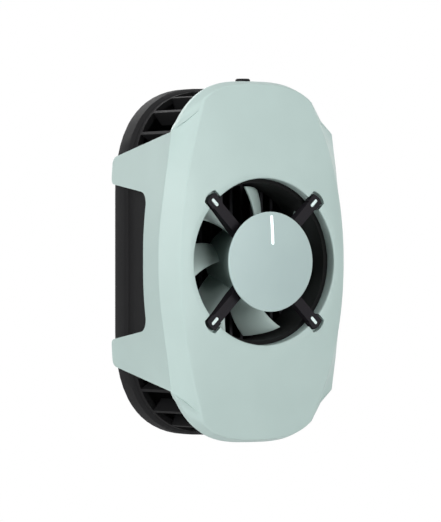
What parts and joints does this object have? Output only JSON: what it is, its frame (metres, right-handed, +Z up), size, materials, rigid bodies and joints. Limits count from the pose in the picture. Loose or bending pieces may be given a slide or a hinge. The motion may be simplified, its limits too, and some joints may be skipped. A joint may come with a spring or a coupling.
{
  "type": "phone cooling fan",
  "caption": "Phone cooler: a crowned mint shell with side arms snapped over a black vented core, an axial fan behind a hub disc and spider, and a flat cooling face behind.",
  "frame": {"origin": "centre of the contact pad's outer face, where the phone's back lies", "axes": "+X to the right seen from the fan's side, +Y out of the contact pad towards the phone (the fan faces -Y), +Z up along the long axis to the power button"},
  "size_m": [0.0564, 0.0388, 0.0933],
  "materials": {
    "mint_plastic": "fine satin moulding, pale mint",
    "mint_wheel": "satin moulding, pale mint",
    "black_plastic": "matt black moulding",
    "light_guide": "milky white",
    "board": "black solder mask",
    "chip": "clear resin",
    "bronze": "sintered bronze",
    "core_steel": "laminated",
    "copper_wire": "enamelled copper",
    "plated_steel": "zinc or nickel plated",
    "ground_steel": "ground",
    "ferrite": "bonded magnet",
    "magnet_nickel": "nickel plated",
    "black_aluminium": "black anodised",
    "bare_aluminium": "satin",
    "ceramic": "white alumina",
    "semiconductor": "grey",
    "lead_cover": "silicone insulation",
    "foam": "closed-cell foam",
    "pad": "soft thermal silicone",
    "switch_body": "black",
    "plunger": "tan"
  },
  "bodies": {
    "housing": {"front_cover": "mint_plastic", "hub_cap": "mint_plastic", "light_bar": "light_guide", "fan_spider": "black_plastic", "motor_board": "board", "light_chip": "chip", "bearing_sleeve": "bronze", "stator_core": "core_steel", "stator_coils": "copper_wire", "fan_deck": "black_plastic", "vent_frame": "black_plastic", "rear_cover": "black_plastic", "case_screws": "plated_steel", "heat_sink": "black_aluminium", "sink_screws": "plated_steel", "hot_ceramic": "ceramic", "cold_ceramic": "ceramic", "module_legs": "semiconductor", "module_leads": "lead_cover", "foam_frame": "foam", "cold_plate": "bare_aluminium", "contact_pad": "pad", "magnets": "magnet_nickel", "magnet_yokes": "plated_steel", "power_board": "board", "power_inlet": "plated_steel", "inlet_tongue": "switch_body", "switch_board": "board", "key_switch": "switch_body"},
    "rotor": {"fan_wheel": "mint_wheel", "rotor_yoke": "plated_steel", "rotor_magnet": "ferrite", "fan_shaft": "ground_steel", "shaft_clip": "plated_steel"},
    "button": {"power_button": "black_plastic", "switch_plunger": "plunger"}
  },
  "joints": [
    {"name": "fan_spin", "type": "hinge", "parent": "housing", "child": "rotor", "pos_m": [0, -0.0254, 0], "axis": [0, -1, 0], "continuous": true},
    {"name": "power_press", "type": "slide", "parent": "housing", "child": "button", "axis": [0, 0, -1], "range_m": [0, 0.0005], "stiffness_N_per_m": 800}
  ]
}
